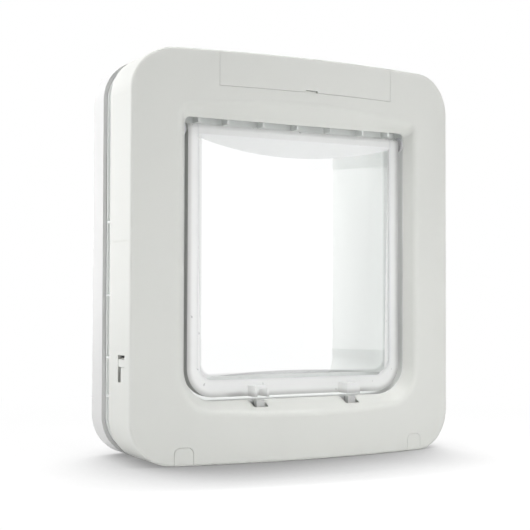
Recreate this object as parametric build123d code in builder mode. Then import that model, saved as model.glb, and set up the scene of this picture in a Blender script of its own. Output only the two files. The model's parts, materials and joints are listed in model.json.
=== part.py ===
from build123d import *
from math import cos, hypot, radians, sin, sqrt
import os

os.makedirs("parts", exist_ok=True)

# Frames and outline, in millimetres. Depths run back from the middle of the bowed front face.
width = 262.0
height = 286.0
corner_radius = 30.0
wall = 2.5
edge_radius = 2.0
rear_edge_radius = 4.0
face_bow = 16.7
housing_depth = 56.5
band_depth = 14.5
groove_inset = 4.7
rear_frame_depth = 24.0
tunnel_overhang = 27.0
plug_clearance = 0.3
skirt_lap = 8.0
seam = 0.25

# Passage, its recess in the front face, and the tunnel
opening_margin = 40.0
opening_bottom = 42.5
opening_corner = 22.5
opening_top_corner = 4.0
recess_depth = 18.0
recess_margin = 34.0
recess_corner = 25.0
lip_drop = 5.0
recess_run_out = 1.0
mouth_radius = 5.0

# Flap and its hinge
side_gap = 3.3
bottom_gap = 2.5
flap_setback = 1.5
flap_corner = 20.0
rim_thickness = 8.0
rim_width = 8.1
hinge_drop = 13.0
hinge_setback = 4.5
barrel_radius = 4.5
pin_radius = 2.0
pin_length = 6.3
pin_play = 0.06
bush_radius = 3.4
bush_length = 5.5
bush_end = 1.2
bush_flange_radius = 5.5
bush_flange = 1.2
bush_fit = 0.05
panel_thickness = 2.5
pane_step = 2.0
pane_bow = 9.0
pane_drop = 3.0
pane_top_slope = 1.05
pane_rise = 12.0
pane_bottom_slope = 0.42
pane_corner = 12.0

# Ribs that hang over the hinge barrel, and the hood behind them that closes the slot
rib_thickness = 1.6
rib_length = 8.0
rib_gap = 0.8
rib_pitch = 28.2
end_rib_margin = 12.0
hood_gap = 0.8
hood_thickness = 1.6
hood_rise = 3.6

# Latches, their cams and motors, below the sill
latch_offset = 2.5
latch_place = 37.7
latch_width = 6.0
latch_thickness = 5.0
latch_lead = 9.5
latch_drop = 1.8
latch_play = 0.15
latch_slot_width = 11.0
latch_slot_margin = 1.6
latch_chamfer = 0.8
nose_radius = 1.5
nose_taper = 2.6
cam_floor_gap = 1.0
cam_base_radius = 5.0
cam_lift = 6.0
cam_turn = 180.0
cam_overrun = 15.0
cam_dwell = 30.0
cam_gap = 0.3
cam_rise_arcs = 4
cam_fall_arcs = 2
spindle_radius = 1.5
spindle_play = 0.06
motor_radius = 6.0
motor_length = 20.0
motor_bore = 6.5
carrier_wall = 2.0
saddle_half_width = 9.0
saddle_length = 14.0
guide_wall = 1.9
guide_offset = 3.4
keeper_width = 11.0
keeper_play = 0.7
keeper_height = 7.5
keeper_wall = 1.6

# Magnets that centre the flap
magnet_place = 52.0
magnet_width = 11.0
magnet_thickness = 4.0
magnet_height = 2.6

# Battery compartment
cover_height = 25.0
cover_land = 5.0
notch_width = 9.5
notch_height = 1.5
tongue_place = 40.0
tongue_width = 16.0
tongue_depth = 4.0
tongue_overlap = 3.0
tongue_thickness = 1.5
cell_radius = 13.1
cell_length = 50.0
cell_nub_radius = 3.2
cell_nub_length = 1.8
cell_gap = 0.3
cell_headroom = 4.3
tray_thickness = 1.5
tray_front_gap = 0.75
tray_clearance = 0.2
tray_wall_height = 20.0
web_place = 40.0
web_front = 21.0
web_height = 4.0
contact_thickness = 0.6
contact_length = 1.9
contact_width = 10.0
contact_height = 18.0
contact_gap = 0.1
leaf_span = 8.0
leaf_height = 9.0
leaf_thickness = 0.5

# Circuit board and the button under the battery cover
board_thickness = 1.6
board_stand_off = 0.6
board_lead = 2.2
board_margin = 11.0
board_front = 21.0
board_back = 47.0
button_room = 7.05
button_depth = 30.0
button_radius = 1.8
button_cap_radius = 2.6
button_cap_height = 1.8
button_travel = 0.8
button_play = 0.1
button_rise = 1.2
switch_size = 4.4
switch_height = 1.1
chip_size = 12.0
chip_height = 0.9

# Aerial coil round the tunnel
coil_thickness = 2.6
coil_width = 6.0
coil_clearance = 0.2

# Screws that pull the two frames together, and the covers over the lower ones
screw_radius = 2.0
screw_play = 0.15
screw_head_radius = 3.6
screw_head_height = 2.8
screw_post_radius = 4.3
lower_screw_inset = 6.5
lower_screw_height = 8.0
lower_screw_seat = 18.0
upper_screw_drop = 12.5
upper_screw_seat = 14.0
tower_half_width = 4.0
screw_cover_width = 13.0
screw_cover_height = 12.5
screw_cover_corner = 4.0
screw_cover_depth = 16.0

# Lock slider in the left wall
slot_front = 26.5
slot_back = 39.0
slot_top = 75.0
slot_shoulder = 66.5
slot_bottom = 56.3
slit_front = 33.5
slider_play = 0.4
slider_height = 5.3
slider_recess = 0.2
slider_flange = 1.4
slider_lap = 1.6
slider_gap = 0.3

# Witness line across the left wall, and the small ribs across the groove
witness_height = 153.0
witness_front = 21.0
witness_width = 0.6
witness_depth = 0.35
band_rib_heights = (45.0, 72.0, 116.0, 168.0)
band_rib_thickness = 1.6
band_rib_proud = 0.8

# Values worked out from the sizes above
total_depth = housing_depth + band_depth + rear_frame_depth + tunnel_overhang
front = -total_depth / 2
band_back = housing_depth + band_depth
rear_back = band_back + rear_frame_depth
bow_radius = ((width / 2) ** 2 + face_bow**2) / (2 * face_bow)
opening_width = width - 2 * opening_margin
half_opening = opening_width / 2
recess_half_width = width / 2 - recess_margin
recess_bottom = recess_margin
recess_top = height - recess_margin
plug_inset = wall + plug_clearance
skirt_front = housing_depth - skirt_lap
groove_front = housing_depth + wall
groove_back = band_back - wall

# Heights from the top down: cells under the cover, their tray, and the passage below it
cover_bottom = height - cover_height
cell_level = height - wall - cell_headroom - cell_radius
tray_floor = cell_level - cell_radius
ceiling = tray_floor - tray_thickness - web_height
opening_top = ceiling - wall
lip_top = opening_top - lip_drop
hinge_height = opening_top - hinge_drop
rib_bottom = hinge_height + barrel_radius + rib_gap
hood_bottom = hinge_height + hood_rise
upper_screw_height = height - upper_screw_drop
tower_top = upper_screw_height + tower_half_width

# Flap in the passage
flap_front = recess_depth + flap_setback
flap_half_width = half_opening - side_gap
flap_bottom = opening_bottom + bottom_gap
hinge_depth = flap_front + hinge_setback
pane_top = hinge_height - pane_drop
pane_bottom = flap_bottom + pane_rise
hood_front = hinge_depth + barrel_radius + hood_gap
rib_places = [0, rib_pitch, 2 * rib_pitch, half_opening - end_rib_margin]

# Latches below the sill
latch_front = flap_front - latch_lead
latch_top = flap_bottom - latch_drop
keeper_reach = latch_lead + keeper_wall + keeper_play
carrier_front = recess_depth + seam
motor_front = carrier_front + carrier_wall
cam_rise = cam_lift / radians(cam_turn)
rise_end = cam_turn + cam_overrun
fall_end = 360 - cam_dwell
cam_top_radius = cam_base_radius + cam_rise * radians(rise_end)
cam_height = wall + cam_floor_gap + cam_top_radius
nose_level = cam_height + cam_base_radius + cam_gap
guide_bottom = nose_level + cam_lift
guide_top = opening_bottom - wall - guide_offset - (opening_bottom - recess_bottom) / 2
latch_places = [latch_offset - latch_place, latch_offset + latch_place]
magnet_points = [
    (latch_offset + side * magnet_place, front + flap_front + rim_thickness / 2) for side in (-1, 1)
]

# Battery tray, from the cells outwards
cell_end = cell_gap / 2 + cell_length
tray_inner = cell_end + contact_length + contact_thickness
button_place = tray_inner + wall + button_room / 2
tray_half_width = tray_inner + wall + button_room + 2 * tower_half_width
cover_half_width = tray_half_width + tray_clearance
cover_reach = housing_depth - cover_land
upper_screw_place = tray_half_width - tower_half_width
lower_screw_place = width / 2 - corner_radius - lower_screw_inset

# Board over the passage, with the button above it
board_level = ceiling + board_stand_off
board_left = button_place - board_lead
board_right = width / 2 - board_margin
switch_top = board_level + board_thickness + switch_height
button_foot = switch_top + button_travel + button_play
cap_level = tray_floor + button_rise

# Aerial coil against the back plate
coil_back = band_back - wall - coil_clearance
web_back = coil_back - coil_width - coil_clearance
screw_places = [
    (side * place, level)
    for place, level in (
        (lower_screw_place, lower_screw_height),
        (upper_screw_place, upper_screw_height),
    )
    for side in (-1, 1)
]


def facing(depth):
    """Plane at a depth behind the front, looking towards the viewer."""
    return Plane.XZ.offset(-(front + depth))


def face_depth(place):
    """Depth of the bowed front face at a distance from its middle."""
    return bow_radius - sqrt(bow_radius**2 - place**2)


# Depths of the cells behind the cover's tongues, and of their tray
tongue_back = wall + seam + tongue_thickness
cell_front = tongue_back + face_depth(tongue_place + tongue_width / 2) + cell_gap
row_depths = [cell_front + cell_radius, cell_front + 3 * cell_radius + cell_gap]
tray_front = wall + face_depth(tray_half_width) + tray_front_gap
tray_back = row_depths[1] + cell_radius + cell_gap


def bowed_block(inset, back_depth):
    """Solid of the frame's outline, set in all round, under the bowed front face."""
    with BuildPart() as block:
        with BuildSketch(facing(back_depth)):
            with Locations((0, height / 2)):
                RectangleRounded(width - 2 * inset, height - 2 * inset, corner_radius - inset)
        extrude(amount=back_depth)
        with BuildSketch(Plane.XY):
            with Locations((0, front + bow_radius)):
                Circle(bow_radius - inset)
        extrude(amount=height, mode=Mode.INTERSECT)
    return block.part


def outline_prism(inset, near_depth, far_depth):
    """Straight solid of the frame's outline, set in all round, between two depths."""
    with BuildPart() as prism:
        with BuildSketch(facing(far_depth)):
            with Locations((0, height / 2)):
                RectangleRounded(width - 2 * inset, height - 2 * inset, corner_radius - inset)
        extrude(amount=far_depth - near_depth)
    return prism.part


def groove_prism(inset, near_depth, far_depth):
    """Straight solid inside the groove between the frames, set in again at the sides and the top."""
    side_inset = plug_inset + groove_inset + inset
    low = plug_inset + inset
    with BuildPart() as prism:
        with BuildSketch(facing(far_depth)) as outline:
            with Locations((0, (low + height - side_inset) / 2)):
                Rectangle(width - 2 * side_inset, height - side_inset - low)
            fillet(outline.vertices().group_by(Axis.Y)[0], corner_radius - low)
            fillet(outline.vertices().group_by(Axis.Y)[-1], corner_radius - side_inset)
        extrude(amount=far_depth - near_depth)
    return prism.part


def passage_prism(grow, near_depth, far_depth):
    """Straight solid of the passage's outline, grown all round, between two depths."""
    with BuildPart() as prism:
        with BuildSketch(facing(far_depth)) as outline:
            with Locations((0, (opening_bottom + opening_top) / 2)):
                Rectangle(opening_width + 2 * grow, opening_top - opening_bottom + 2 * grow)
            fillet(outline.vertices().group_by(Axis.Y)[0], opening_corner + grow)
            fillet(outline.vertices().group_by(Axis.Y)[-1], opening_top_corner + grow)
        extrude(amount=far_depth - near_depth)
    return prism.part


def recess_funnel(grow):
    """Flared solid that cuts the recess, from ahead of the front face to the passage's mouth."""
    side_slope = (recess_half_width - half_opening) / (recess_depth - face_depth(recess_half_width))
    bottom_slope = (opening_bottom - recess_bottom) / recess_depth
    top_slope = (recess_top - lip_top) / recess_depth
    with BuildPart() as flare:
        for depth in (-recess_run_out, recess_depth):
            run = recess_depth - depth
            half = half_opening + side_slope * run + grow
            low = opening_bottom - bottom_slope * run - grow
            high = lip_top + top_slope * run + grow
            corner = opening_corner + (recess_corner - opening_corner) * run / recess_depth + grow
            with BuildSketch(facing(depth)) as section:
                with Locations((0, (low + high) / 2)):
                    Rectangle(2 * half, high - low)
                fillet(section.vertices().group_by(Axis.Y)[0], corner)
                fillet(section.vertices().group_by(Axis.Y)[-1], opening_top_corner + grow)
        loft(ruled=True)
    return flare.part


def bow_slab(place, slab_width, low, high, outer_inset, inner_inset):
    """Thin curved slab behind the front face, between two insets, cut to a width and a height."""
    slab_back = face_depth(abs(place) + slab_width) + inner_inset
    with BuildPart() as slab:
        add(bowed_block(outer_inset, slab_back))
        add(bowed_block(inner_inset, slab_back), mode=Mode.SUBTRACT)
        with BuildSketch(facing(slab_back)):
            with Locations((place, (low + high) / 2)):
                Rectangle(slab_width, high - low)
        extrude(amount=slab_back, mode=Mode.INTERSECT)
    return slab.part


def screw_cover_prism(side, grow):
    """Upright tab with rounded upper corners, over a lower screw, from the front to its own depth."""
    with BuildPart() as tab:
        with BuildSketch(facing(screw_cover_depth + grow)) as outline:
            with Locations((side * lower_screw_place, screw_cover_height / 2)):
                Rectangle(screw_cover_width + 2 * grow, screw_cover_height + 2 * grow)
            fillet(outline.vertices().group_by(Axis.Y)[-1], screw_cover_corner + grow)
        extrude(amount=screw_cover_depth + grow)
    return tab.part


def pane_pocket(grow):
    """Dished solid of the flap's pane: bowed back in plan, with sloping top and bottom walls."""
    half = flap_half_width - rim_width + grow
    side_depth = flap_front + pane_step + grow
    top = pane_top + grow * hypot(1, pane_top_slope)
    bottom = pane_bottom - grow * hypot(1, pane_bottom_slope)
    run = pane_step + pane_bow + grow
    reach = half + rim_width / 2
    pane_radius = (half**2 + pane_bow**2) / (2 * pane_bow)
    reach_depth = side_depth + pane_bow - pane_radius + sqrt(pane_radius**2 - reach**2)
    with BuildPart() as dish:
        with BuildSketch(Plane.XY):
            with BuildLine():
                Polyline(
                    (-reach, front + reach_depth),
                    (-reach, front + flap_front),
                    (reach, front + flap_front),
                    (reach, front + reach_depth),
                )
                ThreePointArc(
                    (reach, front + reach_depth),
                    (0, front + side_depth + pane_bow),
                    (-reach, front + reach_depth),
                )
            make_face()
        extrude(amount=height)
        with BuildSketch(Plane.YZ):
            with BuildLine():
                Polyline(
                    (front + flap_front, bottom),
                    (front + flap_front, top),
                    (front + flap_front + run, top - pane_top_slope * run),
                    (front + flap_front + run, bottom + pane_bottom_slope * run),
                    close=True,
                )
            make_face()
        extrude(amount=reach, both=True, mode=Mode.INTERSECT)
        with BuildSketch(facing(flap_front + run)) as window:
            with Locations((0, (bottom + top) / 2)):
                Rectangle(2 * half, top - bottom)
            fillet(window.vertices().group_by(Axis.Y)[0], pane_corner + grow)
        extrude(amount=run, mode=Mode.INTERSECT)
    return dish.part


def cam_radius(angle):
    """Radius of a cam at an angle from its top: a steady rise, a quicker fall and a short dwell."""
    if angle <= rise_end:
        return cam_base_radius + cam_rise * radians(angle)
    if angle >= fall_end:
        return cam_base_radius
    share = (angle - rise_end) / (fall_end - rise_end)
    return cam_top_radius + (cam_base_radius - cam_top_radius) * share


def cam_point(place, angle):
    """Point of a cam's edge at an angle from its top, against the way that it turns."""
    radius = cam_radius(angle)
    return (place - radius * sin(radians(angle)), cam_height + radius * cos(radians(angle)))


# Outer form of the front housing: a rounded block whose front is part of a large upright cylinder
with BuildPart() as outer_form:
    add(bowed_block(0, housing_depth))
    fillet(outer_form.faces().sort_by(Axis.Y)[0].edges(), edge_radius)

# Hollow of the front housing: all the room inside its walls, less the recess and the screw posts
inner_block = bowed_block(wall, housing_depth)
with BuildPart() as housing_hollow:
    add(inner_block)
    add(recess_funnel(wall), mode=Mode.SUBTRACT)
    with BuildSketch(facing(skirt_front)):
        for side in (-1, 1):
            with Locations((side * lower_screw_place, lower_screw_height)):
                Circle(screw_post_radius)
            with Locations((side * lower_screw_place, (wall + lower_screw_height) / 2)):
                Rectangle(2 * screw_post_radius, lower_screw_height - wall)
    extrude(amount=skirt_front - lower_screw_seat, mode=Mode.SUBTRACT)

# Front housing: a moulded shell with the flared recess, open at the back
with BuildPart() as front_housing:
    add(outer_form.part)
    add(recess_funnel(0), mode=Mode.SUBTRACT)
    bowed_face = front_housing.faces().filter_by(GeomType.CYLINDER).sort_by(SortBy.AREA)[-1]
    fillet(bowed_face.inner_wires()[0].edges(), mouth_radius)
    add(housing_hollow.part, mode=Mode.SUBTRACT)
    # Opening for the battery cover, across the front wall and the top wall
    with BuildSketch(facing(cover_reach)):
        with Locations((0, (cover_bottom + height) / 2)):
            Rectangle(2 * (cover_half_width + seam), height - cover_bottom)
    extrude(amount=cover_reach, mode=Mode.SUBTRACT)
    # Slots in the sill for the latches
    with BuildSketch(facing(recess_depth)):
        with Locations(*[(place, opening_bottom) for place in latch_places]):
            Rectangle(latch_slot_width, 2 * (opening_bottom - guide_top))
    extrude(amount=recess_depth - latch_front + latch_slot_margin, mode=Mode.SUBTRACT)
    # Bores in the lower screw posts, and the openings in front of them
    with BuildSketch(facing(skirt_front)):
        with Locations(*[(side * lower_screw_place, lower_screw_height) for side in (-1, 1)]):
            Circle(screw_radius + screw_play)
    extrude(amount=skirt_front - lower_screw_seat, mode=Mode.SUBTRACT)
    for side in (-1, 1):
        add(screw_cover_prism(side, seam), mode=Mode.SUBTRACT)
    # Stepped slot for the lock slider in the left wall
    with BuildSketch(Plane.YZ.offset(-width / 2)):
        with Locations((front + (slot_front + slot_back) / 2, (slot_shoulder + slot_top) / 2)):
            Rectangle(slot_back - slot_front, slot_top - slot_shoulder)
        with Locations((front + (slit_front + slot_back) / 2, (slot_bottom + slot_top) / 2)):
            Rectangle(slot_back - slit_front, slot_top - slot_bottom)
    extrude(amount=wall, mode=Mode.SUBTRACT)
    # Witness line across the left wall
    with BuildSketch(Plane.YZ.offset(-width / 2)):
        with Locations((front + (witness_front + housing_depth) / 2, witness_height)):
            Rectangle(housing_depth - witness_front, witness_width)
    extrude(amount=witness_depth, mode=Mode.SUBTRACT)
front_housing.part.label = "front_housing"
export_step(front_housing.part, "parts/front_housing.step")

# Chassis: the skirt that plugs into the housing, a groove, its back plate, the tunnel and the battery tray
with BuildPart() as chassis_tunnel:
    add(outline_prism(plug_inset, skirt_front, groove_front))
    add(groove_prism(0, groove_front, groove_back))
    add(outline_prism(plug_inset, groove_back, band_back))
    add(outline_prism(plug_inset + wall, skirt_front, housing_depth), mode=Mode.SUBTRACT)
    add(groove_prism(wall, housing_depth, groove_back), mode=Mode.SUBTRACT)
    add(passage_prism(wall, recess_depth + seam, total_depth))
    add(passage_prism(0, recess_depth, total_depth), mode=Mode.SUBTRACT)
    # Floor of the battery tray, run back to the back plate, on two webs over the tunnel
    with BuildSketch(Plane.XY.offset(tray_floor - tray_thickness)):
        with Locations((0, front + (tray_front + band_back - wall) / 2)):
            Rectangle(2 * tray_half_width, band_back - wall - tray_front)
    extrude(amount=tray_thickness)
    with BuildSketch(Plane.XY.offset(ceiling)):
        with Locations(*[(side * web_place, front + (web_front + web_back) / 2) for side in (-1, 1)]):
            Rectangle(wall, web_back - web_front)
    extrude(amount=tray_floor - tray_thickness - ceiling)
    # End walls and back wall of the tray
    with BuildSketch(Plane.XY.offset(tray_floor)):
        for side in (-1, 1):
            with Locations((side * (tray_inner + wall / 2), front + (tray_front + tray_back + wall) / 2)):
                Rectangle(wall, tray_back + wall - tray_front)
        with Locations((0, front + tray_back + wall / 2)):
            Rectangle(2 * tray_inner, wall)
    extrude(amount=tray_wall_height)
    # Towers for the upper screws
    with BuildSketch(facing(skirt_front)):
        with Locations(*[(side * upper_screw_place, (tray_floor + tower_top) / 2) for side in (-1, 1)]):
            Rectangle(2 * tower_half_width, tower_top - tray_floor)
    extrude(amount=skirt_front - upper_screw_seat)
    # Bores for the four screws
    with BuildSketch(facing(band_back)):
        with Locations(*screw_places):
            Circle(screw_radius + screw_play)
    extrude(amount=band_back - upper_screw_seat, mode=Mode.SUBTRACT)
    # Ribs that hang from the ceiling over the hinge barrel, and the hood behind them
    with BuildSketch(facing(hood_front)):
        for place in rib_places:
            for side in (-1, 1):
                with Locations((side * place, (rib_bottom + opening_top) / 2)):
                    Rectangle(rib_thickness, opening_top - rib_bottom)
    extrude(amount=hood_front - hinge_depth + rib_length / 2)
    with BuildSketch(facing(hood_front + hood_thickness)):
        with Locations((0, (hood_bottom + opening_top) / 2)):
            Rectangle(opening_width, opening_top - hood_bottom)
    extrude(amount=hood_thickness)
    # Holes for the hinge bushes
    with BuildSketch(Plane.YZ):
        with Locations((front + hinge_depth, hinge_height)):
            Circle(bush_radius + bush_fit)
    extrude(amount=half_opening + wall, both=True, mode=Mode.SUBTRACT)
    # Stand-offs under the circuit board, and the hole for the button's stem
    with BuildSketch(Plane.XY.offset(ceiling)):
        for place in (board_left + wall, half_opening - opening_top_corner - 2 * wall):
            for depth in (board_front + wall, board_back - wall):
                with Locations((place, front + depth)):
                    Rectangle(wall, wall)
    extrude(amount=board_stand_off)
    with BuildSketch(Plane.XY.offset(tray_floor)):
        with Locations((button_place, front + button_depth)):
            Circle(button_radius + button_play)
    extrude(amount=-tray_thickness, mode=Mode.SUBTRACT)
    # Small ribs across the groove at the sides
    rib_reach = groove_inset + band_rib_proud
    with BuildSketch(facing(groove_back)):
        for level in band_rib_heights:
            for side in (-1, 1):
                with Locations((side * (width / 2 - plug_inset + band_rib_proud - rib_reach / 2), level)):
                    Rectangle(rib_reach, band_rib_thickness)
    extrude(amount=groove_back - groove_front)
chassis_tunnel.part.label = "chassis_tunnel"
export_step(chassis_tunnel.part, "parts/chassis_tunnel.step")

# Rear frame: a shallow moulded tray with a collar round the tunnel and four screw posts
with BuildPart() as rear_hollow:
    add(outline_prism(wall, band_back, rear_back - wall))
    add(passage_prism(2 * wall + plug_clearance, band_back, rear_back - wall), mode=Mode.SUBTRACT)
    with BuildSketch(facing(rear_back - wall)):
        with Locations(*screw_places):
            Circle(screw_post_radius)
    extrude(amount=rear_frame_depth - 2 * wall, mode=Mode.SUBTRACT)
with BuildPart() as rear_frame:
    add(outline_prism(0, band_back, rear_back))
    fillet(rear_frame.faces().sort_by(Axis.Y)[-1].edges(), rear_edge_radius)
    add(rear_hollow.part, mode=Mode.SUBTRACT)
    add(passage_prism(wall + plug_clearance, band_back, rear_back), mode=Mode.SUBTRACT)
    with BuildSketch(facing(rear_back - wall)):
        with Locations(*screw_places):
            Circle(screw_radius + screw_play)
    extrude(amount=rear_frame_depth - wall, mode=Mode.SUBTRACT)
rear_frame.part.label = "rear_frame"
export_step(rear_frame.part, "parts/rear_frame.step")

# Battery cover: the housing's own skin between the seams, with two tongues behind the lower seam
with BuildPart() as battery_cover:
    add(outer_form.part)
    with BuildSketch(facing(cover_reach - seam)):
        with Locations((0, (cover_bottom + seam + height) / 2)):
            Rectangle(2 * cover_half_width, height - cover_bottom - seam)
    extrude(amount=cover_reach - seam, mode=Mode.INTERSECT)
    add(inner_block, mode=Mode.SUBTRACT)
    for side in (-1, 1):
        place = side * tongue_place
        tongue_top = cover_bottom + tongue_overlap
        tongue_tip = cover_bottom - tongue_depth
        add(bow_slab(place, tongue_width, cover_bottom + seam, tongue_top, wall, tongue_back))
        add(bow_slab(place, tongue_width, tongue_tip, tongue_top, wall + seam, tongue_back))
    with BuildSketch(facing(wall + edge_radius)):
        with Locations((0, cover_bottom + seam + notch_height / 2)):
            Rectangle(notch_width, notch_height)
    extrude(amount=wall + edge_radius, mode=Mode.SUBTRACT)
battery_cover.part.label = "battery_cover"
export_step(battery_cover.part, "parts/battery_cover.step")

# Four round cells lying in two rows, each row in series, with the rows facing opposite ways
for row, row_name in enumerate(("front", "back")):
    for side, side_name in ((-1, "left"), (1, "right")):
        nub_side = 1 - 2 * row
        cell_middle = side * (cell_length + cell_gap) / 2
        body_middle = cell_middle - nub_side * cell_nub_length / 2
        with BuildPart() as cell:
            with BuildSketch(Plane.YZ.offset(body_middle)):
                with Locations((front + row_depths[row], cell_level)):
                    Circle(cell_radius)
            extrude(amount=(cell_length - cell_nub_length) / 2, both=True)
            with BuildSketch(Plane.YZ.offset(cell_middle + nub_side * cell_length / 2)):
                with Locations((front + row_depths[row], cell_level)):
                    Circle(cell_nub_radius)
            extrude(amount=-nub_side * cell_nub_length)
        cell.part.label = f"battery_cell_{row_name}_{side_name}"
        export_step(cell.part, f"parts/battery_cell_{row_name}_{side_name}.step")

# Contacts at the rows' ends: a bridge on the left, two plates on the right, with leaves on the cells
for side, side_name in ((-1, "left"), (1, "right")):
    plate_face = side * (cell_end + contact_length)
    leaf_tip = side * (cell_end + contact_gap)
    with BuildPart() as contacts:
        with BuildSketch(Plane.YZ.offset(plate_face)):
            for depth in row_depths:
                with Locations((front + depth, cell_level)):
                    Rectangle(contact_width, contact_height)
            if side < 0:
                with Locations((front + sum(row_depths) / 2, cell_level)):
                    Rectangle(row_depths[1] - row_depths[0], contact_width)
        extrude(amount=side * contact_thickness)
        with BuildSketch(Plane.XY.offset(cell_level)):
            for depth in row_depths:
                near = front + depth - leaf_span / 2
                far = front + depth + leaf_span / 2
                leaf_back = leaf_tip + side * leaf_thickness
                with BuildLine():
                    ThreePointArc((plate_face, near), (leaf_tip, front + depth), (plate_face, far))
                    Line((plate_face, far), (plate_face, far - leaf_thickness))
                    ThreePointArc(
                        (plate_face, far - leaf_thickness),
                        (leaf_back, front + depth),
                        (plate_face, near + leaf_thickness),
                    )
                    Line((plate_face, near + leaf_thickness), (plate_face, near))
                make_face()
        extrude(amount=leaf_height / 2, both=True)
    contacts.part.label = f"battery_contacts_{side_name}"
    export_step(contacts.part, f"parts/battery_contacts_{side_name}.step")

# Circuit board with its processor and the small switch under the button
with BuildPart() as circuit_board:
    with BuildSketch(Plane.XY.offset(board_level)):
        with Locations(((board_left + board_right) / 2, front + (board_front + board_back) / 2)):
            Rectangle(board_right - board_left, board_back - board_front)
    extrude(amount=board_thickness)
    with BuildSketch(Plane.XY.offset(board_level + board_thickness)):
        with Locations((half_opening, front + (board_front + board_back) / 2)):
            Rectangle(chip_size, chip_size)
    extrude(amount=chip_height)
    with BuildSketch(Plane.XY.offset(board_level + board_thickness)):
        with Locations((button_place, front + button_depth)):
            Rectangle(switch_size, switch_size)
    extrude(amount=switch_height)
circuit_board.part.label = "circuit_board"
export_step(circuit_board.part, "parts/circuit_board.step")

# Button under the battery cover: a cap on a stem that reaches down to the switch
with BuildPart() as learn_button:
    with BuildSketch(Plane.XY.offset(button_foot)):
        with Locations((button_place, front + button_depth)):
            Circle(button_radius)
    extrude(amount=cap_level - button_foot)
    with BuildSketch(Plane.XY.offset(cap_level)):
        with Locations((button_place, front + button_depth)):
            Circle(button_cap_radius)
    extrude(amount=button_cap_height)
learn_button.part.label = "learn_button"
export_step(learn_button.part, "parts/learn_button.step")

# Aerial coil wound round the tunnel, ahead of the back plate
with BuildPart() as antenna_coil:
    coil_inside = wall + coil_clearance
    add(passage_prism(coil_inside + coil_thickness, coil_back - coil_width, coil_back))
    add(passage_prism(coil_inside, coil_back - coil_width, coil_back), mode=Mode.SUBTRACT)
antenna_coil.part.label = "antenna_coil"
export_step(antenna_coil.part, "parts/antenna_coil.step")

# Flanged hinge bushes, pushed into the tunnel's walls from the passage
for side, side_name in ((-1, "left"), (1, "right")):
    with BuildPart() as bush:
        with BuildSketch(Plane.YZ.offset(side * half_opening)):
            with Locations((front + hinge_depth, hinge_height)):
                Circle(bush_flange_radius)
        extrude(amount=-side * bush_flange)
        with BuildSketch(Plane.YZ.offset(side * half_opening)):
            with Locations((front + hinge_depth, hinge_height)):
                Circle(bush_radius)
        extrude(amount=side * bush_length)
        with BuildSketch(Plane.YZ.offset(side * (half_opening - bush_flange))):
            with Locations((front + hinge_depth, hinge_height)):
                Circle(pin_radius + pin_play)
        extrude(amount=side * (bush_flange + bush_length - bush_end), mode=Mode.SUBTRACT)
    bush.part.label = f"hinge_bush_{side_name}"
    export_step(bush.part, f"parts/hinge_bush_{side_name}.step")

# Flap: one clear moulding with a thick rim, a dished pane, the hinge barrel, its pins and two keepers
with BuildPart() as flap:
    with BuildSketch(facing(flap_front + rim_thickness)) as rim:
        with Locations((0, (flap_bottom + hinge_height) / 2)):
            Rectangle(2 * flap_half_width, hinge_height - flap_bottom)
        fillet(rim.vertices().group_by(Axis.Y)[0], flap_corner)
    extrude(amount=rim_thickness)
    with BuildSketch(Plane.YZ):
        with Locations((front + hinge_depth, hinge_height)):
            Circle(barrel_radius)
    extrude(amount=flap_half_width, both=True)
    add(pane_pocket(panel_thickness))
    add(pane_pocket(0), mode=Mode.SUBTRACT)
    with BuildSketch(Plane.YZ):
        with Locations((front + hinge_depth, hinge_height)):
            Circle(pin_radius)
    extrude(amount=flap_half_width + pin_length, both=True)
    # Keepers that hang over the latches; the right one is closed in front
    with BuildSketch(facing(flap_front)):
        with Locations(*[(place, flap_bottom + keeper_height / 2) for place in latch_places]):
            Rectangle(keeper_width, keeper_height)
    extrude(amount=keeper_reach)
    for place, front_wall in zip(latch_places, (0, keeper_wall)):
        with BuildSketch(facing(flap_front)):
            with Locations((place, flap_bottom + (keeper_height - keeper_wall) / 2)):
                Rectangle(keeper_width - 2 * keeper_wall, keeper_height - keeper_wall)
        extrude(amount=keeper_reach - front_wall, mode=Mode.SUBTRACT)
    # Pockets for the magnets in the rim's lower edge
    with BuildSketch(Plane.XY.offset(flap_bottom)):
        with Locations(*magnet_points):
            Rectangle(magnet_width, magnet_thickness)
    extrude(amount=magnet_height, mode=Mode.SUBTRACT)
flap.part.label = "flap"
export_step(flap.part, "parts/flap.step")

# Magnets in the flap's lower edge
with BuildPart() as flap_magnets:
    with BuildSketch(Plane.XY.offset(flap_bottom)):
        with Locations(*magnet_points):
            Rectangle(magnet_width, magnet_thickness)
    extrude(amount=magnet_height)
flap_magnets.part.label = "flap_magnets"
export_step(flap_magnets.part, "parts/flap_magnets.step")

# Magnets under the tunnel's floor that pull the flap upright
with BuildPart() as sill_magnets:
    with BuildSketch(Plane.XY.offset(opening_bottom - wall)):
        with Locations(*magnet_points):
            Rectangle(magnet_width, magnet_thickness)
    extrude(amount=-magnet_height)
sill_magnets.part.label = "sill_magnets"
export_step(sill_magnets.part, "parts/sill_magnets.step")

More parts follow.
